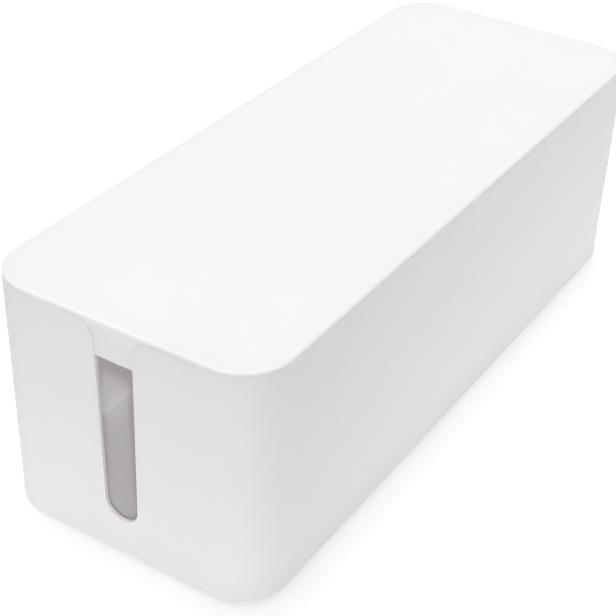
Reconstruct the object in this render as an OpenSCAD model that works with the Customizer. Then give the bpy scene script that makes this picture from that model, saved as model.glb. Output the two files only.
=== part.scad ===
// Cable management box. A deep tub hides a power strip and its cables, which leave through
// a slot in each end wall. A loose lid closes the tub: a lip under its plate centres it, and
// a tongue at each end fills the top of a slot. Four rubber feet, each stuck on with a disc
// of double-sided tape, stand in shallow recesses under the floor.
//
// Millimetres. +X runs along the box and +Z is up. The origin is the centre of the footprint
// on the table. The near end is at -X and the front is at -Y.

/* [Overall] */
// Length of the box over its rim
box_length = 406; // [300:1:500]
// Width of the box over its rim
box_width = 156; // [130:1:220]
// Height of the closed box, feet included
box_height = 135; // [110:1:180]
// Corner radius of the rim, seen from above
corner_r = 26; // [18:0.5:38]
// How far each wall leans in between the rim and the base
wall_draft = 0.4; // [0.2:0.1:2]

/* [Tub] */
// Thickness of the walls
wall_t = 2; // [1.5:0.1:4]
// Thickness of the floor
floor_t = 3; // [2.4:0.1:5]
// Radius of the outer edge round the base
base_edge_r = 3; // [1:0.5:6]
// Radius of the inner edge round the floor
floor_edge_r = 2; // [0.5:0.5:5]
// Radius of the rim's outer edge
rim_edge_r = 1.2; // [0.2:0.1:1.4]

/* [Cable slots] */
// Width of a slot where its shoulders begin
slot_mouth_w = 21.8; // [18:0.2:32]
// Width of a slot at its foot
slot_foot_w = 19; // [15:0.2:21]
// Height of a slot's foot above the table
slot_foot_z = 22; // [14:0.5:50]
// Corner radius at a slot's foot, which half its width limits
slot_foot_r = 9; // [2:0.5:10]
// Radius of the shoulders where a slot opens into the rim
shoulder_r = 10; // [4:0.5:14]

/* [Lid] */
// Thickness of the lid's plate
lid_t = 2.5; // [1.8:0.1:4]
// Radius of the plate's upper edge
lid_edge_r = 1.4; // [0.3:0.1:1.6]
// How far the plate's edge stands back from the rim
lid_setback = 0.3; // [0:0.1:1]
// Depth of the lip under the plate
lip_h = 4; // [2.5:0.5:8]
// Thickness of the lip
lip_t = 1.8; // [1.2:0.1:3]
// Clearance between the lip and the wall round it
lip_clearance = 0.4; // [0.2:0.05:1]
// Lead-in chamfer at the foot of the lip
lip_lead = 0.8; // [0.2:0.1:1]

/* [Lid stiffening] */
// Thickness of the ribs under the plate
rib_t = 1.4; // [0.8:0.1:2.5]
// Depth of the ribs under the plate
rib_h = 2.5; // [1:0.5:6]
// Distance between the two long ribs
long_rib_pitch = 54; // [40:1:90]
// Number of cross ribs
cross_ribs = 4; // [2:1:7]

/* [Tongues] */
// How far a tongue reaches below the top of the lid
tongue_drop = 20; // [15:0.5:30]
// Thickness of a tongue
tongue_t = 2; // [1.4:0.1:3.6]
// Clearance between a tongue and the sides of its slot
tongue_clearance = 0.3; // [0.15:0.05:0.6]
// Thickness of the gussets behind a tongue
gusset_t = 1.4; // [0.8:0.1:2.5]
// Distance between the two gussets behind a tongue
gusset_pitch = 12; // [8:0.5:15]
// How far a gusset runs in under the plate
gusset_reach = 9; // [5:0.5:14]
// Distance from a tongue's lower edge up to its gussets
gusset_gap = 3; // [1:0.5:6]

/* [Feet] */
// Height of the base above the table
foot_stand = 1; // [0.5:0.1:3]
// Diameter of a foot
foot_d = 19; // [12:0.5:24]
// Radius of a foot's lower edge
foot_edge_r = 0.5; // [0.2:0.1:0.8]
// Distance from a foot's centre to the outside of the rim
foot_inset = 28; // [24:0.5:40]
// Depth of the recess that a foot stands in
recess_depth = 1; // [0.5:0.1:1.5]
// Clearance round a foot in its recess
recess_clearance = 0.5; // [0.2:0.1:1]
// Diameter of the tape disc above a foot
tape_d = 17; // [10:0.5:19]
// Thickness of the tape disc
tape_t = 0.4; // [0.2:0.1:0.8]

/* [Hidden] */
$fn = 96;

plastic_colour = [0.93, 0.93, 0.92];
rubber_colour = [0.24, 0.24, 0.25];
tape_colour = [0.82, 0.80, 0.74];

// How far a cut runs past the surface that it opens
cut_over = 1;

// Least width of the level part at the middle of a slot's foot
slot_level = 0.5;

// Heights of the tub's underside, its floor, its rim and the tongues' lower edge
base_z = foot_stand;
floor_z = base_z + floor_t;
rim_z = box_height - lid_t;
tongue_z = box_height - tongue_drop;
// Height inside the plate where the lip, ribs, tongues and gussets end
weld_z = rim_z + lid_t / 2;

// Place of the corner axes, from which every wall profile is drawn outwards
axis_x = box_length / 2 - corner_r;
axis_y = box_width / 2 - corner_r;

// Radius at a slot's foot, which leaves it a level part at the middle
foot_arc_r = min(slot_foot_r, slot_foot_w / 2 - slot_level / 2);

// Heights between which the tub's outer faces, its inner faces and a slot's sides lean
outer_span = [base_z + base_edge_r, rim_z - rim_edge_r];
inner_span = [floor_z + floor_edge_r, rim_z];
slot_span = [slot_foot_z + foot_arc_r, rim_z - shoulder_r];

// Distance from the corner axis to the lip's outer and inner faces
lip_out = inner_at(rim_z - lip_h) - lip_clearance;
lip_in = lip_out - lip_t;

// Centre of a slot's shoulder arc, which ends level on the rim
shoulder = [slot_mouth_w / 2 + shoulder_r, slot_span[1]];

// Place and thickness of a foot
foot_x = box_length / 2 - foot_inset;
foot_y = box_width / 2 - foot_inset;
foot_t = foot_stand + recess_depth - tape_t;

// How far a face has leaned out at height z, of its whole lean over a span of heights
function lean_at(z, span) = max(0, min(1, (z - span[0]) / (span[1] - span[0])));

// Distance from the corner axis to the tub's outer and inner faces at height z
function outer_at(z) = corner_r - wall_draft * (1 - lean_at(z, outer_span));
function inner_at(z) = corner_r - wall_t - wall_draft * (1 - lean_at(z, inner_span));

// Half the width of a slot at height z
function slot_at(z) = (slot_foot_w + (slot_mouth_w - slot_foot_w) * lean_at(z, slot_span)) / 2;

// Distance from the corner axis to a tongue's outer and inner faces at height z
function tongue_face(z) = outer_at(z) - lid_setback;
function tongue_back(z) = tongue_face(z) - tongue_t;

// Profile from the axis out to a side, which stands at low.x at its foot and at high.x at
// its head, between heights low.y and high.y. Each corner is a quarter arc.
module half_profile(low, high, low_r = 0, high_r = 0) {
    low_c = low + [-low_r, low_r];
    high_c = high - [high_r, high_r];
    polygon([
        [0, low.y], [low_c.x, low.y], low_c, [low.x, low_c.y],
        [high.x, high_c.y], high_c, [high_c.x, high.y], [0, high.y],
    ]);
    translate(low_c) mirror([0, 1]) quarter_disc(low_r);
    translate(high_c) quarter_disc(high_r);
}

module quarter_disc(r) {
    if (r > 0) intersection() {
        circle(r);
        square(2 * r);
    }
}

module mirrored(normal) {
    children();
    mirror(normal) children();
}

// Carries a profile, drawn outwards from a corner axis, all round the box
module ring() {
    mirrored([1, 0, 0]) mirrored([0, 1, 0])
        translate([axis_x, axis_y, 0]) rotate_extrude(angle = 90) children();
    mirrored([0, 1, 0])
        translate([0, axis_y, 0]) rotate([90, 0, 90])
            linear_extrude(2 * axis_x, center = true) children();
    mirrored([1, 0, 0]) end_piece(2 * axis_y) children();
}

// Draws a profile straight across the far end, as wide as stated
module end_piece(width) {
    translate([axis_x, 0, 0]) rotate([90, 0, 0])
        linear_extrude(width, center = true) children();
}

// Fills a ring whose profile starts at the corner axis
module slab(low, high) {
    ring() children();
    translate([-axis_x, -axis_y, low]) cube([2 * axis_x, 2 * axis_y, high - low]);
}

// Half of a slot's outline from low up to high, drawn inside the slot's edge by a gap
module slot_half(low, high, gap, foot_r = 0) {
    half_profile([slot_at(low) - gap, low], [slot_mouth_w / 2 - gap, shoulder.y], foot_r);
    difference() {
        translate([0, shoulder.y]) square([shoulder.x, high - shoulder.y]);
        translate(shoulder) circle(shoulder_r + gap);
    }
}

// An outline drawn across the box, carried along it
module along_box(run) {
    rotate([90, 0, 90]) linear_extrude(run, center = true) children();
}

module at_each_foot() {
    mirrored([1, 0, 0]) mirrored([0, 1, 0]) translate([foot_x, foot_y, 0]) children();
}

// The tub: leaning walls, a slot open to the rim in each end, and the recesses for the feet
module box_body() {
    color(plastic_colour) difference() {
        slab(base_z, rim_z) outer_profile();
        slab(floor_z, rim_z + cut_over) inner_profile();
        along_box(box_length + 2 * cut_over) mirrored([1, 0])
            slot_half(slot_foot_z, rim_z + cut_over, 0, foot_arc_r);
        at_each_foot() translate([0, 0, base_z - cut_over])
            cylinder(r = foot_d / 2 + recess_clearance, h = recess_depth + cut_over);
    }
}

module outer_profile() {
    half_profile([corner_r - wall_draft, base_z], [corner_r, rim_z], base_edge_r, rim_edge_r);
}

module inner_profile() {
    rim_in = corner_r - wall_t;
    half_profile([rim_in - wall_draft, floor_z], [rim_in, rim_z], floor_edge_r);
    translate([0, rim_z]) square([rim_in, cut_over]);
}

// The lid: a plate as large as the rim, with its lip, ribs and two tongues below it
module lid() {
    color(plastic_colour) {
        slab(rim_z, box_height) plate_profile();
        ring() lip_profile();
        ribs();
        mirrored([1, 0, 0]) tongue();
    }
}

module plate_profile() {
    edge = corner_r - lid_setback;
    half_profile([edge, rim_z], [edge, box_height], 0, lid_edge_r);
}

module lip_profile() {
    foot = rim_z - lip_h;
    polygon([
        [lip_in, foot], [lip_out - lip_lead, foot], [lip_out, foot + lip_lead],
        [lip_out, weld_z], [lip_in, weld_z],
    ]);
}

// Two long ribs and a row of cross ribs, whose ends stand in the lip
module ribs() {
    end = (lip_in + lip_out) / 2;
    height = weld_z - (rim_z - rib_h);
    middle_z = weld_z - height / 2;
    cross_pitch = 2 * axis_x / (cross_ribs + 1);
    mirrored([0, 1, 0])
        translate([0, long_rib_pitch / 2, middle_z])
            cube([2 * (axis_x + end), rib_t, height], center = true);
    for (i = [1 : cross_ribs])
        translate([i * cross_pitch - axis_x, 0, middle_z])
            cube([rib_t, 2 * (axis_y + end), height], center = true);
}

// The tongue that fills the top of the far slot, with a root as deep as the lip behind it
module tongue() {
    root_z = rim_z - lip_h;
    intersection() {
        end_piece(2 * axis_y) polygon([
            [tongue_face(tongue_z), tongue_z], [tongue_face(rim_z), rim_z],
            [tongue_face(rim_z), weld_z], [lip_in, weld_z], [lip_in, root_z],
            [tongue_back(root_z), root_z], [tongue_back(tongue_z), tongue_z],
        ]);
        along_box(box_length) mirrored([1, 0]) slot_half(tongue_z, weld_z, tongue_clearance);
    }
    mirrored([0, 1, 0]) translate([0, gusset_pitch / 2, 0]) end_piece(gusset_t) gusset_profile();
}

module gusset_profile() {
    low = tongue_z + gusset_gap;
    inner = tongue_back(rim_z) - gusset_reach;
    bite = tongue_face(low) - tongue_t / 2;
    polygon([
        [tongue_back(low), low], [bite, low], [bite, weld_z],
        [inner, weld_z], [inner, rim_z],
    ]);
}

// One foot, standing on the table at the origin
module foot() {
    color(rubber_colour) rotate_extrude()
        half_profile([foot_d / 2, 0], [foot_d / 2, foot_t], foot_edge_r);
}

// The tape disc on top of that foot
module tape() {
    color(tape_colour) translate([0, 0, foot_t]) cylinder(d = tape_d, h = tape_t);
}

module foot_near_front() { translate([-foot_x, -foot_y, 0]) foot(); }
module foot_near_back() { translate([-foot_x, foot_y, 0]) foot(); }
module foot_far_front() { translate([foot_x, -foot_y, 0]) foot(); }
module foot_far_back() { translate([foot_x, foot_y, 0]) foot(); }

module tape_near_front() { translate([-foot_x, -foot_y, 0]) tape(); }
module tape_near_back() { translate([-foot_x, foot_y, 0]) tape(); }
module tape_far_front() { translate([foot_x, -foot_y, 0]) tape(); }
module tape_far_back() { translate([foot_x, foot_y, 0]) tape(); }

box_body();
lid();
foot_near_front();
foot_near_back();
foot_far_front();
foot_far_back();
tape_near_front();
tape_near_back();
tape_far_front();
tape_far_back();
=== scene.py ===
"""Cable management box: a tub with a cable slot in each end, a loose lid and four rubber feet."""

from math import asin, cos, degrees, pi, radians, sin

import bmesh
import bpy
from bpy.props import FloatProperty, FloatVectorProperty, IntProperty, PointerProperty
from mathutils import Matrix, Vector


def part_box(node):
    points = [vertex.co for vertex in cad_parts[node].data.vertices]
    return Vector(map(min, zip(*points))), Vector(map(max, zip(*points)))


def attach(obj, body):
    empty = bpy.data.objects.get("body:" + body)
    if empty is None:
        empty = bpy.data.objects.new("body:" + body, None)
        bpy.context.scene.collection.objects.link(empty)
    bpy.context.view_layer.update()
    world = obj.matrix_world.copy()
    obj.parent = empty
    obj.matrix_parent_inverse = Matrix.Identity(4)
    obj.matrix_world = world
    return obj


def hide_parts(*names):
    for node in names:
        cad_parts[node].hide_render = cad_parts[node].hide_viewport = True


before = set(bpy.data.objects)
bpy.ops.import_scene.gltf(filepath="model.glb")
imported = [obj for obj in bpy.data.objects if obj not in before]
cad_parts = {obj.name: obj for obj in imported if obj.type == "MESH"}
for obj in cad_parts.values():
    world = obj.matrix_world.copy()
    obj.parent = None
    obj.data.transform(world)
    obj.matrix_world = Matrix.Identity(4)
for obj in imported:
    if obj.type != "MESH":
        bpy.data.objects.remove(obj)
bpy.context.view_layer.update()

bl_info = {
    "name": "Cable Management Box",
    "version": (1, 0, 0),
    "blender": (4, 5, 0),
    "location": "3D View > Sidebar > Cable Box",
    "description": "Builds a lidded box that hides a power strip and its cables",
    "category": "Add Mesh",
}

BODY_LOW, BODY_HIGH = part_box("box_body")
LID_LOW, LID_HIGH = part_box("lid")
FOOT_NODES = sorted(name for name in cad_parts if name.startswith("foot_"))
TAPE_NODES = sorted(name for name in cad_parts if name.startswith("tape_"))

# Two places that are closer than this, in metres, are the same.
SAME = 1e-6

# The edges' layer that the Bevel modifier reads its weights from.
ROUNDING = "bevel_weight_edge"

# Faces round each small arc.
BASE_STEPS = 6
FLOOR_STEPS = 5
SHOULDER_STEPS = 12
SLOT_FOOT_STEPS = 10
RECESS_STEPS = 64
PLATE_STEPS = 5
FLARE_STEPS = 10
TONGUE_STEPS = 4
FOOT_EDGE_STEPS = 5

# Stretches over which one edge rounding turns into another, beside a tongue and below it.
RIM_CHANGE = 0.008
SLOT_CHANGE = 0.006

# Chamfer at the mouth of a foot's recess.
RECESS_CHAMFER = 0.0003

# A tongue's back edge stays sharp this far down from the rim, where it grows out of the plate.
TONGUE_ROOT = 0.003

# A foot's sole from the middle out, as shares of the foot's radius and of the tread's depth.
SOLE = ((0.48, 1), (0.54, 0), (0.70, 0), (0.73, 0.8), (0.77, 0.8), (0.80, 0))

# Most of a noise's values lie between these two.
NOISE_LOW, NOISE_HIGH = 0.3, 0.7

# The stage's floor: its radius, and how far under the feet it lies.
STAGE_RADIUS = 8
STAGE_DROP = 0.0002

# The floor is painted paler close to the box than further out: a painted pool of light, seen only
# by bounced light, that brightens the box's lower walls. It changes from near to far between these
# distances from the box's middle. The way across the box counts for more than the way along it.
STAGE_FADE = (0.25, 0.60)
STAGE_ACROSS = 1.6

# Light reaches the inside of the box by many bounces.
DIFFUSE_BOUNCES = 12
ALL_BOUNCES = 16

# The camera's sensor in millimetres, and the nearest thing that it sees in metres.
SENSOR_WIDTH = 36
CLIP_START = 0.01


# ---------------------------------------------------------------- settings

def length(name, description, default):
    """A length that can be changed in the sidebar, in metres."""
    return FloatProperty(name=name, description=description, default=default, min=0, precision=4,
                         unit="LENGTH", subtype="DISTANCE")


def colour(name, description, default):
    """A colour that can be changed in the sidebar."""
    return FloatVectorProperty(name=name, description=description, default=default, size=3,
                               min=0, max=1, subtype="COLOR")


def share(name, description, default):
    """A number from 0 to 1 that can be changed in the sidebar."""
    return FloatProperty(name=name, description=description, default=default, min=0, max=1,
                         subtype="FACTOR")


def lamp(name, description, default):
    """A light's strength that can be changed in the sidebar."""
    return FloatProperty(name=name, description=description, default=default, min=0)


class TubSettings(bpy.types.PropertyGroup):
    """Sizes of the tub"""
    corner_radius: length("Corner radius", "Corner radius of the rim, seen from above", 0.026)
    draft: length("Draft", "How far a wall leans in between the rim and the base", 0.0004)
    wall: length("Wall", "Thickness of the walls", 0.002)
    floor: length("Floor", "Thickness of the floor", 0.003)
    base_rounding: length("Base rounding", "Radius of the outer edge round the base", 0.003)
    floor_rounding: length("Floor rounding", "Radius of the inner edge round the floor", 0.002)
    rim_rounding: length("Rim rounding", "Radius of the rim's outer edge", 0.0015)
    slot_rounding: length("Slot rounding", "Radius of a slot's outer edge", 0.0006)
    slot_inside: length("Slot inside", "Radius of a slot's inner edge", 0.0009)
    seat_rounding: length("Seat rounding", "Radius of the outer edge beside a tongue", 0.0001)
    inner_rounding: length("Inner rounding", "Radius of the rim's inner edge", 0.0004)
    mouth_width: length("Slot mouth", "Width of a slot where its shoulders begin", 0.0218)
    foot_width: length("Slot foot", "Width of a slot at its foot", 0.019)
    foot_height: length("Slot foot height", "Height of a slot's foot above the table", 0.0225)
    foot_rounding: length("Slot foot rounding", "Corner radius at a slot's foot", 0.009)
    shoulder: length("Shoulder", "Radius where a slot opens into the rim", 0.010)
    recess_radius: length("Foot recess", "Radius of the recess that a foot stands in", 0.010)
    recess_depth: length("Recess depth", "Depth of that recess", 0.001)
    corner_steps: IntProperty(name="Corner steps", description="Faces round one corner",
                              default=24, min=6, max=64)


class LidSettings(bpy.types.PropertyGroup):
    """Sizes of the lid"""
    setback: length("Setback", "How far the plate's edge stands back from the rim", 0.0003)
    edge_rounding: length("Edge rounding", "Radius of the plate's upper edge", 0.0014)
    lower_rounding: length("Lower rounding", "Radius of the plate's lower edge", 0.0003)
    tongue_edge: length("Tongue edge", "Radius of a tongue's lower edge", 0.0008)
    tongue_side: length("Tongue side", "Radius of a tongue's other edges", 0.0001)
    lip_depth: length("Lip depth", "Depth of the lip under the plate", 0.004)
    lip: length("Lip", "Thickness of the lip", 0.0018)
    lip_clearance: length("Lip clearance", "Clearance between lip and wall", 0.0004)
    lip_lead: length("Lip lead-in", "Chamfer at the foot of the lip", 0.0008)
    rib: length("Rib", "Thickness of the ribs", 0.0014)
    rib_depth: length("Rib depth", "Depth of the ribs under the plate", 0.0025)
    rib_pitch: length("Rib pitch", "Distance between the two long ribs", 0.054)
    cross_ribs: IntProperty(name="Cross ribs", description="Number of cross ribs",
                            default=4, min=2, max=7)
    tongue_rounding: length("Tongue rounding", "Corner radius at a tongue's lower edge", 0.0006)
    tongue: length("Tongue", "Thickness of a tongue", 0.002)
    clearance: length("Tongue clearance", "Clearance between a tongue and its slot", 0.00005)
    gusset: length("Gusset", "Thickness of the gussets behind a tongue", 0.0014)
    gusset_pitch: length("Gusset pitch", "Distance between a tongue's two gussets", 0.012)
    gusset_reach: length("Gusset reach", "How far a gusset runs in under the plate", 0.009)
    gusset_gap: length("Gusset gap", "From a tongue's lower edge up to its gussets", 0.003)


class FootSettings(bpy.types.PropertyGroup):
    """Sizes of a rubber foot"""
    edge_rounding: length("Edge rounding", "Radius of a foot's lower edge", 0.0005)
    tread_depth: length("Tread depth", "Depth of the rings moulded in a foot's sole", 0.0003)
    steps: IntProperty(name="Steps", description="Faces round a foot", default=64, min=16, max=128)


class FinishSettings(bpy.types.PropertyGroup):
    """Colours and finishes"""
    plastic: colour("Plastic", "Colour of the tub and the lid", (0.90, 0.903, 0.90))
    plastic_roughness: share("Plastic roughness", "How matt the plastic is", 0.42)
    glow: share("Glow", "Share of light that the thin walls let through", 0.20)
    glow_colour: colour("Glow colour", "Colour of the light that comes through the walls",
                        (0.95, 0.91, 0.925))
    rubber: colour("Rubber", "Colour of the feet", (0.045, 0.045, 0.048))
    tape: colour("Tape", "Colour of the adhesive discs", (0.68, 0.64, 0.54))


class StageSettings(bpy.types.PropertyGroup):
    """Camera, floor and light"""
    camera_place: FloatVectorProperty(
        name="Camera place", description="Where the camera stands", size=3,
        default=(-0.600373, -0.344291, 0.499284), subtype="TRANSLATION", unit="LENGTH", precision=5)
    camera_turn: FloatVectorProperty(
        name="Camera turn", description="How the camera is turned", size=3,
        default=(0.975516, -0.028416, -1.000003), subtype="EULER", unit="ROTATION", precision=5)
    lens: FloatProperty(name="Lens", description="Focal length in millimetres", default=85.617,
                        min=1, unit="CAMERA")
    dome: share("Dome", "Level of the even light from all round", 0.28)
    overhead: lamp("Overhead", "Strength of the light from above", 2.14)
    front: lamp("Front", "Strength of the narrow light that reaches in through a slot", 1.14)
    near: lamp("Near", "Strength of the wide light on the end wall", 0.716)
    left: lamp("Left", "Strength of the wide light on the end wall's back part", 0.264)
    right: FloatProperty(name="Right", description="Power of the round light on the long wall",
                         default=1.75, min=0, unit="POWER")
    floor: share("Floor", "How pale the floor looks", 0.95)
    # Painted pool of light: for bounced light only, the floor is paler close to the box, which
    # brightens the box's lower walls.
    floor_near: share("Floor near", "How much light the floor sends back close to the box", 0.95)
    floor_far: share("Floor far", "How much light the floor sends back further out", 0.50)
    floor_white: share("Floor white", "How far the floor's shadows are lifted to white", 0.35)


def settings(kind):
    """The scene's settings of one kind, such as the tub's."""
    return getattr(bpy.context.scene, "cable_box_" + kind)


# ---------------------------------------------------------------- mesh tools

def kind_of(geometry, kind):
    """Those elements of a bmesh operator's result that are of one kind."""
    return [element for element in geometry if isinstance(element, kind)]


def verts_of(geometry):
    """The vertices in a bmesh operator's result."""
    return kind_of(geometry, bmesh.types.BMVert)


def extruded(bm, edges):
    """Extrudes edges. Returns their copies, and the copies' vertices."""
    made = bmesh.ops.extrude_edge_only(bm, edges=edges)["geom"]
    verts = set(verts_of(made))
    return [e for e in kind_of(made, bmesh.types.BMEdge) if set(e.verts) <= verts], verts


def corner_axis():
    """How far the corner axes stand from the middle, along the box and across it."""
    radius = settings("tub").corner_radius
    return BODY_HIGH.x - radius, BODY_HIGH.y - radius


def place(vert, reach, z):
    """Moves a vertex to a distance from the nearest corner axis, or from the lines between them."""
    along, across = corner_axis()
    foot = Vector((min(max(vert.co.x, -along), along), min(max(vert.co.y, -across), across), 0))
    out = Vector((vert.co.x, vert.co.y, 0)) - foot
    vert.co = foot + out.normalized() * reach
    vert.co.z = z


def rounded_face(bm, reach, z):
    """A face with the box's rounded outline, its edges standing at reach from the corner axes."""
    along, across = corner_axis()
    size = Matrix.Diagonal((along + reach, across + reach, 1, 1))
    quad = bmesh.ops.create_grid(bm, x_segments=1, y_segments=1, size=1,
                                 matrix=Matrix.Translation((0, 0, z)) @ size)
    made = bmesh.ops.bevel(bm, geom=quad["verts"], offset=reach, affect="VERTICES",
                           segments=settings("tub").corner_steps, profile=0.5, material=-1)
    return made["faces"][0] if made["faces"] else made["verts"][0].link_faces[0]


def next_ring(bm, loop, reach, z):
    """Extrudes edges to the next ring of a wall's profile."""
    ring, verts = extruded(bm, loop)
    for vert in verts:
        place(vert, reach, z)
    return ring


def arc_rings(bm, loop, reach, z, radius, start, end, steps):
    """Carries edges round an arc of the profile, whose centre is at reach and z. Its angles are in
    degrees, from outwards towards +Z."""
    for step in range(1, steps + 1):
        angle = radians(start + (end - start) * step / steps)
        loop = next_ring(bm, loop, reach + radius * cos(angle), z + radius * sin(angle))
    return loop


def is_end(edge):
    """Whether an edge of an outline runs straight across an end of the box."""
    across = corner_axis()[1]
    low, high = sorted(vert.co.y for vert in edge.verts)
    return abs(low + across) < SAME and abs(high - across) < SAME


def line_to(bm, vert, y, z):
    """Draws a line in the plane across the box. Returns the vertex at its end."""
    made = bmesh.ops.extrude_vert_indiv(bm, verts=[vert])["verts"][0]
    made.co = (vert.co.x, y, z)
    return made


def turn_about(bm, vert, y, z, angle, steps):
    """Draws an arc about y and z in the plane across the box, in degrees from +Y towards +Z.
    Returns the vertex at its end."""
    made = bmesh.ops.spin(bm, geom=[vert], cent=(vert.co.x, y, z), axis=(1, 0, 0),
                          angle=radians(angle), steps=steps, use_duplicate=False)
    return verts_of(made["geom_last"])[0]


def rim_ends(bm, end, z, before=frozenset()):
    """The two vertices, from front to back, where the end wall above an edge meets its corners.
    Vertices of the edges in before aren't looked at."""
    side = end.verts[0].co.x
    across = corner_axis()[1]
    found = [v for v in bm.verts if v.co.x * side > 0 and abs(v.co.z - z) < SAME
             and abs(abs(v.co.y) - across) < SAME and v.is_boundary
             and not before & set(v.link_edges)]
    return sorted(found, key=lambda v: v.co.y)


def fill_end(bm, end, before=frozenset()):
    """Fills an end wall between its foot, its two sides and the edges drawn along its top. The
    edges in before aren't looked at. Returns the drawn edges."""
    side = end.verts[0].co.x
    across = corner_axis()[1]
    sides = [e for e in bm.edges if e.is_boundary and e not in before
             and all(v.co.x * side > 0 and abs(abs(v.co.y) - across) < SAME for v in e.verts)
             and abs(e.verts[0].co.z - e.verts[1].co.z) > SAME]
    drawn = [e for e in bm.edges if e.is_wire]
    bmesh.ops.edgeloop_fill(bm, edges=sides + drawn + [end])
    return drawn


def ramp(value, start, end, low, high):
    """Goes from low to high as the value goes from start to end."""
    part = min(max((value - start) / (end - start), 0), 1)
    return low + (high - low) * part


def mark_rounding(bm, edges, radius, widest):
    """Says how widely edges get rounded. radius is a length, or gives one for an edge's middle."""
    weights = bm.edges.layers.float[ROUNDING]
    for edge in edges:
        middle = (edge.verts[0].co + edge.verts[1].co) / 2
        edge[weights] = (radius(middle) if callable(radius) else radius) / widest


def rounded(bm, widest, steps, extra=None):
    """Rounds the marked edges, and unites the mesh with another solid that runs into it."""
    mesh = bpy.data.meshes.new("sharp")
    bm.to_mesh(mesh)
    bm.clear()
    meshes = [mesh] + ([extra] if extra else [])
    items = [bpy.data.objects.new("raw", data) for data in meshes]
    for item in items:
        bpy.context.scene.collection.objects.link(item)
    bevel = items[0].modifiers.new("Rounding", "BEVEL")
    bevel.limit_method = "WEIGHT"
    bevel.width = widest
    bevel.segments = steps
    bevel.profile = 0.5
    if extra:
        union = items[0].modifiers.new("Union", "BOOLEAN")
        union.operation = "UNION"
        union.solver = "EXACT"
        union.object = items[1]
    result = bpy.data.meshes.new_from_object(
        items[0].evaluated_get(bpy.context.evaluated_depsgraph_get()))
    bm.from_mesh(result)
    for item, data in zip(items, meshes):
        bpy.data.objects.remove(item)
        bpy.data.meshes.remove(data)
    bpy.data.meshes.remove(result)


def finish_piece(bm, name, body, material, nodes, smooth=35):
    """Makes a bmesh a shaded object that rides on a body and stands for CAD nodes. Edges between
    faces that turn by more than smooth, in degrees, stay sharp."""
    bmesh.ops.remove_doubles(bm, verts=bm.verts, dist=SAME)
    bmesh.ops.recalc_face_normals(bm, faces=bm.faces)
    if not bm.faces or not all(edge.is_manifold for edge in bm.edges):
        raise RuntimeError(name + " isn't a closed solid")
    mesh = bpy.data.meshes.new(name)
    bm.to_mesh(mesh)
    bm.free()
    mesh.polygons.foreach_set("use_smooth", [True] * len(mesh.polygons))
    mesh.set_sharp_from_angle(angle=radians(smooth))
    mesh.materials.append(material)
    piece = bpy.data.objects.new(name, mesh)
    bpy.context.scene.collection.objects.link(piece)
    normals = piece.modifiers.new("Even shading", "WEIGHTED_NORMAL")
    normals.keep_sharp = True
    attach(piece, body)
    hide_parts(*nodes)


# ---------------------------------------------------------------- materials

def shader(name, glow=0, glow_colour=(1, 1, 1)):
    """A new material with its tree, its surface shader and the object's own coordinates. Its glow
    is the share of light that comes through from behind."""
    material = bpy.data.materials.get(name) or bpy.data.materials.new(name)
    material.use_nodes = True
    tree = material.node_tree
    tree.nodes.clear()
    output = tree.nodes.new("ShaderNodeOutputMaterial")
    surface = tree.nodes.new("ShaderNodeBsdfPrincipled")
    if glow:
        through = tree.nodes.new("ShaderNodeBsdfTranslucent")
        through.inputs["Color"].default_value = (*glow_colour, 1)
        both = tree.nodes.new("ShaderNodeMixShader")
        both.inputs["Fac"].default_value = glow
        tree.links.new(surface.outputs["BSDF"], both.inputs[1])
        tree.links.new(through.outputs["BSDF"], both.inputs[2])
        tree.links.new(both.outputs["Shader"], output.inputs["Surface"])
    else:
        tree.links.new(surface.outputs["BSDF"], output.inputs["Surface"])
    where = tree.nodes.new("ShaderNodeTexCoord")
    return material, tree, surface, where.outputs["Object"]


def noise(tree, where, scale, detail, rough=0.5):
    """A noise of about so many spots to the metre."""
    node = tree.nodes.new("ShaderNodeTexNoise")
    node.inputs["Scale"].default_value = scale
    node.inputs["Detail"].default_value = detail
    node.inputs["Roughness"].default_value = rough
    tree.links.new(where, node.inputs["Vector"])
    return node.outputs["Fac"]


def spread(tree, value, low, high):
    """Maps a noise to a range."""
    node = tree.nodes.new("ShaderNodeMapRange")
    node.inputs["From Min"].default_value = NOISE_LOW
    node.inputs["From Max"].default_value = NOISE_HIGH
    node.inputs["To Min"].default_value = low
    node.inputs["To Max"].default_value = high
    tree.links.new(value, node.inputs["Value"])
    return node.outputs["Result"]


def tinted(tree, value, colour_value, change):
    """A colour that darkens by a share where the value is high."""
    node = tree.nodes.new("ShaderNodeMix")
    node.data_type = "RGBA"
    node.inputs["A"].default_value = (*colour_value, 1)
    node.inputs["B"].default_value = (*(c * (1 - change) for c in colour_value), 1)
    tree.links.new(value, node.inputs["Factor"])
    return node.outputs["Result"]


def grain(tree, value, strength, height, under=None):
    """A relief of so many metres, on top of another one if that is given."""
    node = tree.nodes.new("ShaderNodeBump")
    node.inputs["Strength"].default_value = strength
    node.inputs["Distance"].default_value = height
    tree.links.new(value, node.inputs["Height"])
    if under:
        tree.links.new(under, node.inputs["Normal"])
    return node.outputs["Normal"]


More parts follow.
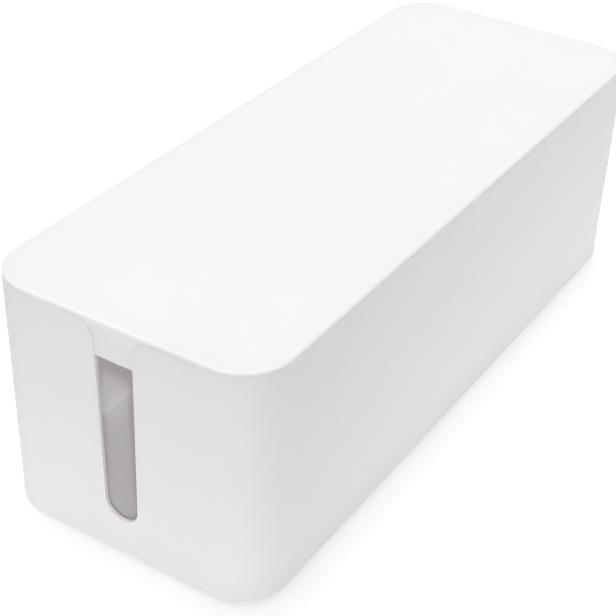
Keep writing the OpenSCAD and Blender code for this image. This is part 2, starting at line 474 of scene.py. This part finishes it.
def white_plastic():
    """White satin plastic, moulded against a fine spark-eroded surface."""
    finish = settings("finish")
    material, tree, surface, where = shader("White plastic", finish.glow, finish.glow_colour)
    flow = noise(tree, where, scale=14, detail=3)
    tree.links.new(tinted(tree, flow, finish.plastic, change=0.012), surface.inputs["Base Color"])
    rough, uneven = finish.plastic_roughness, 0.03
    polish = noise(tree, where, scale=60, detail=4)
    tree.links.new(spread(tree, polish, low=rough - uneven, high=rough + uneven),
                   surface.inputs["Roughness"])
    wave = noise(tree, where, scale=35, detail=1)
    ripple = grain(tree, wave, strength=0.15, height=0.0002)
    pits = noise(tree, where, scale=2400, detail=3, rough=0.6)
    eroded = grain(tree, pits, strength=0.25, height=0.00002, under=ripple)
    tree.links.new(eroded, surface.inputs["Normal"])
    surface.inputs["IOR"].default_value = 1.5
    surface.inputs["Subsurface Weight"].default_value = 0.35
    surface.inputs["Subsurface Radius"].default_value = (1.0, 1.0, 0.95)
    surface.inputs["Subsurface Scale"].default_value = 0.006
    return material


def foot_rubber():
    """Dark rubber with a dry, slightly mottled skin."""
    material, tree, surface, where = shader("Foot rubber")
    mottle = noise(tree, where, scale=900, detail=4, rough=0.6)
    tone = tinted(tree, mottle, settings("finish").rubber, change=0.3)
    tree.links.new(tone, surface.inputs["Base Color"])
    tree.links.new(spread(tree, mottle, low=0.72, high=0.88), surface.inputs["Roughness"])
    skin = grain(tree, noise(tree, where, scale=4000, detail=3), strength=0.4, height=0.00003)
    tree.links.new(skin, surface.inputs["Normal"])
    surface.inputs["Specular IOR Level"].default_value = 0.35
    return material


def tape_film():
    """Cream adhesive film, a little cloudy."""
    material, tree, surface, where = shader("Tape film")
    cloud = noise(tree, where, scale=300, detail=3)
    tone = tinted(tree, cloud, settings("finish").tape, change=0.08)
    tree.links.new(tone, surface.inputs["Base Color"])
    tree.links.new(spread(tree, cloud, low=0.30, high=0.45), surface.inputs["Roughness"])
    film = grain(tree, noise(tree, where, scale=1500, detail=2), strength=0.2, height=0.00002)
    tree.links.new(film, surface.inputs["Normal"])
    return material


# ---------------------------------------------------------------- tub

def draw_slot(bm, vert, rim, last):
    """Draws the rim of an end wall from front to back, from one vertex to the last one, with the
    slot that opens into it."""
    tub = settings("tub")
    shoulder_y = tub.mouth_width / 2 + tub.shoulder
    shoulder_z = rim - tub.shoulder
    foot_y = tub.foot_width / 2 - tub.foot_rounding
    foot_z = tub.foot_height + tub.foot_rounding
    vert = line_to(bm, vert, -shoulder_y, rim)
    vert = turn_about(bm, vert, -shoulder_y, shoulder_z, -90, SHOULDER_STEPS)
    vert = line_to(bm, vert, -tub.foot_width / 2, foot_z)
    vert = turn_about(bm, vert, -foot_y, foot_z, 90, SLOT_FOOT_STEPS)
    vert = line_to(bm, vert, foot_y, tub.foot_height)
    vert = turn_about(bm, vert, foot_y, foot_z, 90, SLOT_FOOT_STEPS)
    vert = line_to(bm, vert, tub.mouth_width / 2, shoulder_z)
    vert = turn_about(bm, vert, shoulder_y, shoulder_z, -90, SHOULDER_STEPS)
    bmesh.ops.contextual_create(bm, geom=[vert, last])


def wall_sheet(bm, face, rounding, rim_reach, rim, steps):
    """Raises one skin of the tub from a face with its outline: an arc, then a leaning wall that
    ends in the rim and in a slot at each end. Returns the edges that the skin is left open at."""
    before = set(bm.edges) - set(face.edges)
    along = corner_axis()[0]
    base_reach = max(abs(v.co.x) for v in face.verts) - along
    wall_reach = base_reach + rounding
    wall_low = face.verts[0].co.z + rounding
    loop = arc_rings(bm, list(face.edges), base_reach, wall_low, rounding,
                     start=-90, end=0, steps=steps)
    ends = [edge for edge in loop if is_end(edge)]
    next_ring(bm, [edge for edge in loop if edge not in ends], rim_reach, rim)
    for end in ends:
        first, last = rim_ends(bm, end, rim, before)
        draw_slot(bm, first, rim, last)
        side = 1 if end.verts[0].co.x > 0 else -1
        for vert in {v for e in bm.edges if e.is_wire for v in e.verts} - {first, last}:
            lean = (vert.co.z - wall_low) / (rim - wall_low)
            vert.co.x = side * (along + wall_reach + (rim_reach - wall_reach) * lean)
        fill_end(bm, end, before)
    return [e for e in bm.edges if e.is_boundary and e not in before]


def outwards(point, middle):
    """The level direction from a middle to a point."""
    away = point - middle
    away.z = 0
    return away.normalized()


def add_recesses(bm, face, radius, depth):
    """Replaces the underside's face by one with a round recess for each foot."""
    outline = list(face.edges)
    base = face.verts[0].co.z
    bmesh.ops.delete(bm, geom=[face], context="FACES_ONLY")
    mouths = []
    for name in FOOT_NODES:
        low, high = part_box(name)
        middle = Vector(((low.x + high.x) / 2, (low.y + high.y) / 2, base))
        ring = bmesh.ops.create_circle(bm, cap_ends=False, segments=RECESS_STEPS,
                                       radius=radius + RECESS_CHAMFER,
                                       matrix=Matrix.Translation(middle))["verts"]
        edges = list({e for v in ring for e in v.link_edges})
        mouths += edges
        for rise in (RECESS_CHAMFER, depth):
            edges, verts = extruded(bm, edges)
            for vert in verts:
                vert.co = middle + outwards(vert.co, middle) * radius
                vert.co.z = base + rise
        bmesh.ops.edgeloop_fill(bm, edges=edges)
    bmesh.ops.triangle_fill(bm, use_beauty=True, edges=outline + mouths, normal=(0, 0, -1))


def outer_rounding(point):
    """Radius of the tub's outer edge at a point of the rim or of a slot."""
    tub = settings("tub")
    if point.z > BODY_HIGH.z - SAME:
        shoulder = tub.mouth_width / 2 + tub.shoulder
        return ramp(abs(point.y), shoulder, shoulder + RIM_CHANGE,
                    tub.seat_rounding, tub.rim_rounding)
    return ramp(point.z, LID_LOW.z, LID_LOW.z - SLOT_CHANGE,
                tub.seat_rounding, tub.slot_rounding)


def inner_rounding(point):
    """Radius of the tub's inner edge at a point of the rim or of a slot."""
    tub = settings("tub")
    return ramp(point.z, LID_LOW.z, LID_LOW.z - SLOT_CHANGE,
                tub.inner_rounding, tub.slot_inside)


class CABLEBOX_OT_tub(bpy.types.Operator):
    """Build the tub, with a cable slot in each end wall"""
    bl_idname = "cable_box.tub"
    bl_label = "Tub"

    def execute(self, context):
        tub = settings("tub")
        bm = bmesh.new()
        bm.edges.layers.float.new(ROUNDING)
        base, rim = BODY_LOW.z, BODY_HIGH.z
        reach = tub.corner_radius - tub.draft - tub.base_rounding
        under = rounded_face(bm, reach, base)
        outer = wall_sheet(bm, under, tub.base_rounding, tub.corner_radius, rim, BASE_STEPS)
        reach = tub.corner_radius - tub.wall - tub.draft - tub.floor_rounding
        inside = rounded_face(bm, reach, base + tub.floor)
        inner = wall_sheet(bm, inside, tub.floor_rounding, tub.corner_radius - tub.wall, rim,
                           FLOOR_STEPS)
        bmesh.ops.bridge_loops(bm, edges=outer + inner)
        add_recesses(bm, under, tub.recess_radius, tub.recess_depth)
        bmesh.ops.recalc_face_normals(bm, faces=bm.faces)
        mark_rounding(bm, outer, outer_rounding, tub.rim_rounding)
        mark_rounding(bm, inner, inner_rounding, tub.rim_rounding)
        rounded(bm, tub.rim_rounding, steps=4)
        finish_piece(bm, "tub_moulding", "tub", white_plastic(), ["box_body"])
        return {"FINISHED"}


# ---------------------------------------------------------------- lid

def draw_tongue(bm, vert, rim, last):
    """Draws the lower edge of an end of the lid from front to back, from one vertex to the last
    one, with the tongue's outline."""
    tub, lid = settings("tub"), settings("lid")
    shoulder_y = tub.mouth_width / 2 + tub.shoulder
    shoulder_z = rim - tub.shoulder
    radius = tub.shoulder + lid.clearance
    start = asin(tub.shoulder / radius)
    foot = LID_LOW.z
    narrowing = (tub.mouth_width - tub.foot_width) / 2
    slope = narrowing / (shoulder_z - tub.foot_height - tub.foot_rounding)
    mouth = tub.mouth_width / 2 - lid.clearance
    low = mouth - slope * (shoulder_z - foot)
    small = lid.tongue_rounding
    vert = line_to(bm, vert, -shoulder_y + radius * cos(start), rim)
    vert = turn_about(bm, vert, -shoulder_y, shoulder_z, -degrees(start), FLARE_STEPS)
    vert = line_to(bm, vert, -low, foot + small)
    vert = turn_about(bm, vert, -low + small, foot + small, 90, TONGUE_STEPS)
    vert = line_to(bm, vert, low - small, foot)
    vert = turn_about(bm, vert, low - small, foot + small, 90, TONGUE_STEPS)
    vert = line_to(bm, vert, mouth, shoulder_z)
    vert = turn_about(bm, vert, shoulder_y, shoulder_z, -degrees(start), FLARE_STEPS)
    bmesh.ops.contextual_create(bm, geom=[vert, last])


def add_tongue(bm, end, rim):
    """Closes an end of the plate's edge and hangs the tongue from it. Returns the edges of its
    front and those of its back that get rounded."""
    lid = settings("lid")
    side = 1 if end.verts[0].co.x > 0 else -1
    first, last = rim_ends(bm, end, rim)
    draw_tongue(bm, first, rim, last)
    drawn = fill_end(bm, end)
    outline = [e for e in drawn if not {first, last} & set(e.verts)]
    edges, back = extruded(bm, outline)
    bmesh.ops.translate(bm, verts=list(back), vec=(-side * lid.tongue, 0, 0))
    tops = sorted(back, key=lambda v: -v.co.z)[:2]
    top = bmesh.ops.contextual_create(bm, geom=tops)["edges"]
    bmesh.ops.edgeloop_fill(bm, edges=edges + top)
    return drawn, [e for e in edges if all(v.co.z < rim - TONGUE_ROOT for v in e.verts)]


def add_lip_and_ribs(bm, loop, rim):
    """Draws the plate's underside: the lip all round, and inside it a grid of ribs."""
    tub, lid = settings("tub"), settings("lid")
    along = corner_axis()[0]
    lean = tub.draft * lid.lip_depth / (rim - BODY_LOW.z - tub.floor - tub.floor_rounding)
    outside = tub.corner_radius - tub.wall - lid.lip_clearance - lean
    inside = outside - lid.lip
    face = rounded_face(bm, outside, rim)
    ring = list(face.edges)
    bmesh.ops.delete(bm, geom=[face], context="FACES_ONLY")
    bmesh.ops.triangle_fill(bm, use_beauty=True, edges=loop + ring, normal=(0, 0, -1))
    foot = rim - lid.lip_depth
    rib_foot = rim - lid.rib_depth
    for reach, z in ((outside, foot + lid.lip_lead), (outside - lid.lip_lead, foot),
                     (inside, foot), (inside, rib_foot)):
        ring = next_ring(bm, ring, reach, z)
    bmesh.ops.edgeloop_fill(bm, edges=ring)
    pitch = 2 * along / (lid.cross_ribs + 1)
    ribs = [(Vector((i * pitch - along, 0, 0)), Vector((1, 0, 0)))
            for i in range(1, lid.cross_ribs + 1)]
    ribs += [(Vector((0, s * lid.rib_pitch / 2, 0)), Vector((0, 1, 0))) for s in (-1, 1)]

    def flat():
        """The faces of the lip's inside that aren't sunk between the ribs yet."""
        return [f for f in bm.faces if all(abs(v.co.z - rib_foot) < SAME for v in f.verts)]

    for middle, across_rib in ribs:
        for edge in (-1, 1):
            faces = flat()
            parts = list({g for f in faces for g in (*f.edges, *f.verts)}) + faces
            bmesh.ops.bisect_plane(bm, geom=parts, dist=SAME / 10, plane_no=across_rib,
                                   plane_co=middle + across_rib * edge * lid.rib / 2)
    pockets = [f for f in flat() if all(
        abs((f.calc_center_median() - middle).dot(across_rib)) > lid.rib / 2
        for middle, across_rib in ribs)]
    borders = list({edge for face in pockets for edge in face.edges})
    made = bmesh.ops.extrude_face_region(bm, geom=pockets + borders)["geom"]
    bmesh.ops.translate(bm, verts=verts_of(made), vec=(0, 0, lid.rib_depth))


def gusset_mesh(rim):
    """The webs that brace each tongue against the plate, each a prism that runs into both."""
    lid = settings("lid")
    face_x = LID_HIGH.x
    back = face_x - lid.tongue
    weld = (rim + LID_HIGH.z) / 2
    low = LID_LOW.z + lid.gusset_gap
    bite = face_x - lid.tongue / 2
    bm = bmesh.new()
    verts = [bm.verts.new((x, lid.gusset_pitch / 2 - lid.gusset / 2, z)) for x, z in
             ((bite, low), (bite, weld), (back - lid.gusset_reach, weld), (back, low))]
    face = bmesh.ops.contextual_create(bm, geom=verts)["faces"]
    made = bmesh.ops.extrude_face_region(bm, geom=face)["geom"]
    bmesh.ops.translate(bm, verts=verts_of(made), vec=(0, lid.gusset, 0))
    for axis in ("Y", "X"):
        bmesh.ops.mirror(bm, geom=bm.verts[:] + bm.edges[:] + bm.faces[:], axis=axis,
                         merge_dist=0)
    bmesh.ops.recalc_face_normals(bm, faces=bm.faces)
    mesh = bpy.data.meshes.new("gussets")
    bm.to_mesh(mesh)
    bm.free()
    return mesh


def lower_rounding(point):
    """Radius of the lid's lower edge at a point of the plate or of a tongue."""
    tub, lid = settings("tub"), settings("lid")
    if point.z > BODY_HIGH.z - SAME:
        shoulder = tub.mouth_width / 2 + tub.shoulder
        return ramp(abs(point.y), shoulder, shoulder + RIM_CHANGE,
                    lid.tongue_side, lid.lower_rounding)
    foot = LID_LOW.z + lid.tongue_rounding
    return ramp(point.z, foot + SAME, LID_LOW.z, lid.tongue_side, lid.tongue_edge)


class CABLEBOX_OT_lid(bpy.types.Operator):
    """Build the lid, with its lip, ribs and two tongues"""
    bl_idname = "cable_box.lid"
    bl_label = "Lid"

    def execute(self, context):
        tub, lid = settings("tub"), settings("lid")
        bm = bmesh.new()
        bm.edges.layers.float.new(ROUNDING)
        rim, top = BODY_HIGH.z, LID_HIGH.z
        edge_reach = tub.corner_radius - lid.setback
        face = rounded_face(bm, edge_reach - lid.edge_rounding, top)
        loop = arc_rings(bm, list(face.edges), edge_reach - lid.edge_rounding,
                         top - lid.edge_rounding, lid.edge_rounding,
                         start=90, end=0, steps=PLATE_STEPS)
        ends = [edge for edge in loop if is_end(edge)]
        sides = next_ring(bm, [e for e in loop if e not in ends], edge_reach, rim)
        front, back = list(sides), []
        for end in ends:
            drawn, behind = add_tongue(bm, end, rim)
            front += drawn
            back += behind
        add_lip_and_ribs(bm, [e for e in bm.edges if e.is_boundary], rim)
        bmesh.ops.recalc_face_normals(bm, faces=bm.faces)
        mark_rounding(bm, front, lower_rounding, lid.tongue_edge)
        mark_rounding(bm, back, lid.tongue_side, lid.tongue_edge)
        rounded(bm, lid.tongue_edge, steps=3, extra=gusset_mesh(rim))
        finish_piece(bm, "lid_moulding", "cover", white_plastic(), ["lid"])
        return {"FINISHED"}


# ---------------------------------------------------------------- feet and tapes

def foot_mesh(low, high):
    """A round foot with a ringed sole, drawn as half a section and spun."""
    foot = settings("foot")
    radius, top = (high.x - low.x) / 2, high.z
    tread, edge = foot.tread_depth, foot.edge_rounding
    bm = bmesh.new()
    vert = bm.verts.new((0, 0, tread))
    for out, up in SOLE:
        vert = line_to(bm, vert, out * radius, up * tread)
    vert = line_to(bm, vert, radius - edge, 0)
    vert = turn_about(bm, vert, radius - edge, edge, 90, FOOT_EDGE_STEPS)
    chamfer = edge / 3
    vert = line_to(bm, vert, radius, top - chamfer)
    vert = line_to(bm, vert, radius - chamfer, top)
    line_to(bm, vert, 0, top)
    bmesh.ops.spin(bm, geom=bm.verts[:] + bm.edges[:], cent=(0, 0, 0), axis=(0, 0, 1),
                   angle=2 * pi, steps=foot.steps, use_merge=True, use_duplicate=False)
    bmesh.ops.remove_doubles(bm, verts=bm.verts, dist=SAME)
    middle = ((low.x + high.x) / 2, (low.y + high.y) / 2, low.z)
    bmesh.ops.translate(bm, verts=bm.verts, vec=middle)
    return bm


class CABLEBOX_OT_feet(bpy.types.Operator):
    """Build the four rubber feet"""
    bl_idname = "cable_box.feet"
    bl_label = "Feet"

    def execute(self, context):
        for node in FOOT_NODES:
            name = node.replace("foot_", "rubber_foot_")
            finish_piece(foot_mesh(*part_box(node)), name, "tub", foot_rubber(),
                         [node], smooth=32)
        return {"FINISHED"}


class CABLEBOX_OT_tapes(bpy.types.Operator):
    """Finish the adhesive discs that hold the feet"""
    bl_idname = "cable_box.tapes"
    bl_label = "Tapes"

    def execute(self, context):
        film = tape_film()
        for name in TAPE_NODES:
            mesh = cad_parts[name].data
            mesh.materials.clear()
            mesh.materials.append(film)
        return {"FINISHED"}


# ---------------------------------------------------------------- stage

def seen_directly(tree):
    """1 for rays that look straight at a surface, in a mirror or through glass."""
    path = tree.nodes.new("ShaderNodeLightPath")
    total = path.outputs["Is Camera Ray"]
    for name in ("Is Glossy Ray", "Is Transmission Ray"):
        add = tree.nodes.new("ShaderNodeMath")
        add.operation = "MAXIMUM"
        tree.links.new(total, add.inputs[0])
        tree.links.new(path.outputs[name], add.inputs[1])
        total = add.outputs[0]
    return total


def mixed(tree, share_value, first, second):
    """One surface turning into another as the share goes from 0 to 1."""
    node = tree.nodes.new("ShaderNodeMixShader")
    if isinstance(share_value, float):
        node.inputs["Fac"].default_value = share_value
    else:
        tree.links.new(share_value, node.inputs["Fac"])
    tree.links.new(first, node.inputs[1])
    tree.links.new(second, node.inputs[2])
    return node.outputs["Shader"]


def paint(tree, pale):
    """Matt grey paint, as pale as a number or a socket says."""
    node = tree.nodes.new("ShaderNodeBsdfDiffuse")
    if isinstance(pale, float):
        node.inputs["Color"].default_value = (pale, pale, pale, 1)
    else:
        tree.links.new(pale, node.inputs["Color"])
    return node.outputs["BSDF"]


def floor_material():
    """Pale floor, which can't be seen from below. Bounced light sees it painted paler close to the
    box, a painted pool of light that brightens the box's lower walls.
    """
    stage = settings("stage")
    material = bpy.data.materials.new("Pale floor")
    material.use_nodes = True
    tree = material.node_tree
    tree.nodes.clear()
    output = tree.nodes.new("ShaderNodeOutputMaterial")
    where = tree.nodes.new("ShaderNodeTexCoord")
    scaled = tree.nodes.new("ShaderNodeVectorMath")
    scaled.operation = "MULTIPLY"
    scaled.inputs[1].default_value = (1, STAGE_ACROSS, 0)
    tree.links.new(where.outputs["Object"], scaled.inputs[0])
    away = tree.nodes.new("ShaderNodeVectorMath")
    away.operation = "LENGTH"
    tree.links.new(scaled.outputs["Vector"], away.inputs[0])
    # Painted pool of light: for bounced light the floor is paler close to the box than further out.
    fade = tree.nodes.new("ShaderNodeMapRange")
    fade.inputs["From Min"].default_value = STAGE_FADE[0]
    fade.inputs["From Max"].default_value = STAGE_FADE[1]
    fade.inputs["To Min"].default_value = stage.floor_near
    fade.inputs["To Max"].default_value = stage.floor_far
    tree.links.new(away.outputs["Value"], fade.inputs["Value"])
    white = tree.nodes.new("ShaderNodeEmission")
    white.inputs["Strength"].default_value = 1
    looks = mixed(tree, stage.floor_white, paint(tree, stage.floor), white.outputs["Emission"])
    lit = mixed(tree, seen_directly(tree), paint(tree, fade.outputs["Result"]), looks)
    side = tree.nodes.new("ShaderNodeNewGeometry")
    clear = tree.nodes.new("ShaderNodeBsdfTransparent")
    one_way = mixed(tree, side.outputs["Backfacing"], lit, clear.outputs["BSDF"])
    tree.links.new(one_way, output.inputs["Surface"])
    return material


def add_light(name, kind, energy, stand, aim):
    """A light that stands at one point and faces another. Neither the camera nor a reflection
    shows it, so the lid's top isn't washed out where it is seen at a low angle."""
    light = bpy.data.lights.new(name, kind)
    light.energy = energy
    holder = bpy.data.objects.new(name, light)
    holder.location = stand
    holder.rotation_euler = (Vector(stand) - Vector(aim)).to_track_quat("Z", "Y").to_euler()
    holder.visible_glossy = False
    holder.visible_camera = False
    bpy.context.scene.collection.objects.link(holder)
    return light


def add_sun(name, strength, angle, stand):
    """An even light from the side of a point, as soft as its angle in degrees."""
    add_light(name, "SUN", strength, stand, aim=(0, 0, 0)).angle = radians(angle)


def add_disc(name, watts, width, stand, aim):
    """A round studio light, which fades with distance."""
    light = add_light(name, "AREA", watts, stand, aim)
    light.shape = "DISK"
    light.size = width


def add_floor():
    """Lays the floor just under the feet."""
    bm = bmesh.new()
    bmesh.ops.create_circle(bm, cap_ends=True, segments=96, radius=STAGE_RADIUS,
                            matrix=Matrix.Translation((0, 0, -STAGE_DROP)))
    mesh = bpy.data.meshes.new("floor")
    bm.to_mesh(mesh)
    bm.free()
    mesh.materials.append(floor_material())
    floor = bpy.data.objects.new("floor", mesh)
    bpy.context.scene.collection.objects.link(floor)


def add_surroundings():
    """Surrounds the stage with white, which lights the box at the level of the dome."""
    world = bpy.data.worlds.new("White surroundings")
    world.use_nodes = True
    tree = world.node_tree
    tree.nodes.clear()
    output = tree.nodes.new("ShaderNodeOutputWorld")
    sky = tree.nodes.new("ShaderNodeBackground")
    level = tree.nodes.new("ShaderNodeMapRange")
    level.inputs["To Min"].default_value = settings("stage").dome
    level.inputs["To Max"].default_value = 1
    tree.links.new(seen_directly(tree), level.inputs["Value"])
    tree.links.new(level.outputs["Result"], sky.inputs["Strength"])
    tree.links.new(sky.outputs["Background"], output.inputs["Surface"])
    bpy.context.scene.world = world


def add_camera():
    """Sets up the camera."""
    stage, scene = settings("stage"), bpy.context.scene
    camera = bpy.data.cameras.new("camera")
    camera.lens = stage.lens
    camera.sensor_width = SENSOR_WIDTH
    camera.clip_start = CLIP_START
    holder = bpy.data.objects.new("camera", camera)
    holder.location = stage.camera_place
    holder.rotation_euler = stage.camera_turn
    scene.collection.objects.link(holder)
    scene.camera = holder


class CABLEBOX_OT_stage(bpy.types.Operator):
    """Lay the floor, hang the lights and set up the camera"""
    bl_idname = "cable_box.stage"
    bl_label = "Stage"

    def execute(self, context):
        stage, scene = settings("stage"), context.scene
        add_floor()
        add_surroundings()
        add_sun("overhead", stage.overhead, angle=30, stand=(0.1, 0.1, 1.0))
        add_sun("front", stage.front, angle=2.5, stand=(-0.586, -0.507, 0.632))
        add_sun("near", stage.near, angle=60, stand=(-1.0, 0.1, 0.15))
        add_sun("left", stage.left, angle=60, stand=(-0.5, 0.75, 0.25))
        add_disc("right", stage.right, width=0.6, stand=(0.85, -0.75, 0.30), aim=(0.1, 0, 0.07))
        add_camera()
        scene.cycles.diffuse_bounces = DIFFUSE_BOUNCES
        scene.cycles.max_bounces = ALL_BOUNCES
        scene.view_settings.view_transform = "Standard"
        return {"FINISHED"}


# ---------------------------------------------------------------- panel and run

OPERATORS = (CABLEBOX_OT_tub, CABLEBOX_OT_lid, CABLEBOX_OT_feet, CABLEBOX_OT_tapes,
             CABLEBOX_OT_stage)
SETTINGS = {"tub": TubSettings, "lid": LidSettings, "foot": FootSettings,
            "finish": FinishSettings, "stage": StageSettings}


class CABLEBOX_PT_panel(bpy.types.Panel):
    """The box's operators and settings"""
    bl_label = "Cable Box"
    bl_idname = "CABLEBOX_PT_panel"
    bl_space_type = "VIEW_3D"
    bl_region_type = "UI"
    bl_category = "Cable Box"

    def draw(self, context):
        for operator in OPERATORS:
            self.layout.operator(operator.bl_idname)
        for kind, group in SETTINGS.items():
            box = self.layout.box()
            box.label(text=group.__doc__)
            for name in group.__annotations__:
                box.prop(settings(kind), name)


def register():
    """Adds the classes, and the settings to the scene."""
    for item in (*SETTINGS.values(), *OPERATORS, CABLEBOX_PT_panel):
        bpy.utils.register_class(item)
    for kind, group in SETTINGS.items():
        setattr(bpy.types.Scene, "cable_box_" + kind, PointerProperty(type=group))


def unregister():
    """Takes away what register adds."""
    for kind in SETTINGS:
        delattr(bpy.types.Scene, "cable_box_" + kind)
    for item in (CABLEBOX_PT_panel, *reversed(OPERATORS), *reversed(SETTINGS.values())):
        bpy.utils.unregister_class(item)


def main():
    """Builds everything."""
    register()
    for step in ("tub", "lid", "feet", "tapes", "stage"):
        getattr(bpy.ops.cable_box, step)()


if __name__ == "__main__":
    main()
